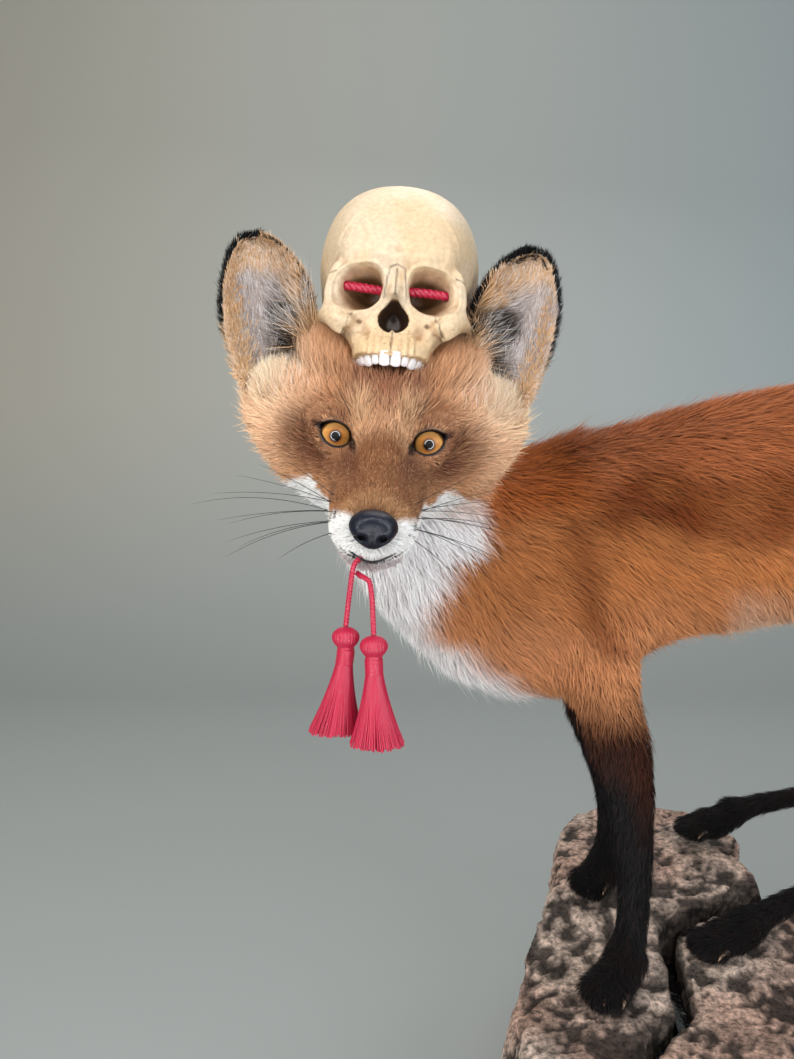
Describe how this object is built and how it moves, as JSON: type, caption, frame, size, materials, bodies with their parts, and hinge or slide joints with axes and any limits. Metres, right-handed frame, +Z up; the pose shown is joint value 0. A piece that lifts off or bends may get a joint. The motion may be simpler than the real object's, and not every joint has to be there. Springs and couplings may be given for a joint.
{
  "type": "taxidermy red fox on a rock base",
  "caption": "Still life-size mounted red fox on a cast rock base, head turned aside, a small skull cast between its ears and a tasselled cord in its mouth.",
  "frame": {"origin": "on the flat underside of the rock base, beneath the fore part of the trunk", "axes": "+Z up, +X towards the tail, the fox walks towards -X and its head looks towards -Y"},
  "size_m": [0.7491, 0.4069, 0.6203],
  "materials": {
    "orange_coat": "dense guard hair, red-brown over orange",
    "face_coat": "short grizzled hair",
    "white_coat": "long soft hair",
    "black_coat": "short dark stocking hair",
    "nose_leather": "pebbled damp-looking leather",
    "glass_eye": "polished amber eye with a round pupil",
    "resin_bone": "aged ivory resin with stained seams",
    "satin_cord": "crimson twisted rayon",
    "cast_rock": "painted rough casting",
    "black_lacquer": "wet-look black filler"
  },
  "bodies": {
    "root": {"barrel": "orange_coat", "chest": "orange_coat", "ear_left": "orange_coat", "ear_right": "orange_coat", "eye_left": "glass_eye", "eye_right": "glass_eye", "front_left_lower": "black_coat", "front_left_paw": "black_coat", "front_left_upper": "orange_coat", "front_right_lower": "black_coat", "front_right_paw": "black_coat", "front_right_upper": "orange_coat", "head": "face_coat", "hind_left_lower": "black_coat", "hind_left_paw": "black_coat", "hind_left_upper": "orange_coat", "hind_right_lower": "black_coat", "hind_right_paw": "black_coat", "hind_right_upper": "orange_coat", "lower_jaw": "white_coat", "mouth_cord_a": "satin_cord", "mouth_cord_b": "satin_cord", "muzzle": "face_coat", "neck": "orange_coat", "nose": "nose_leather", "orbit_cord": "satin_cord", "rock_core": "black_lacquer", "rock_left": "cast_rock", "rock_right": "cast_rock", "rump": "orange_coat", "skull_cast": "resin_bone", "tail": "orange_coat", "tail_tag": "white_coat", "tassel_a": "satin_cord", "tassel_b": "satin_cord"}
  },
  "joints": []
}
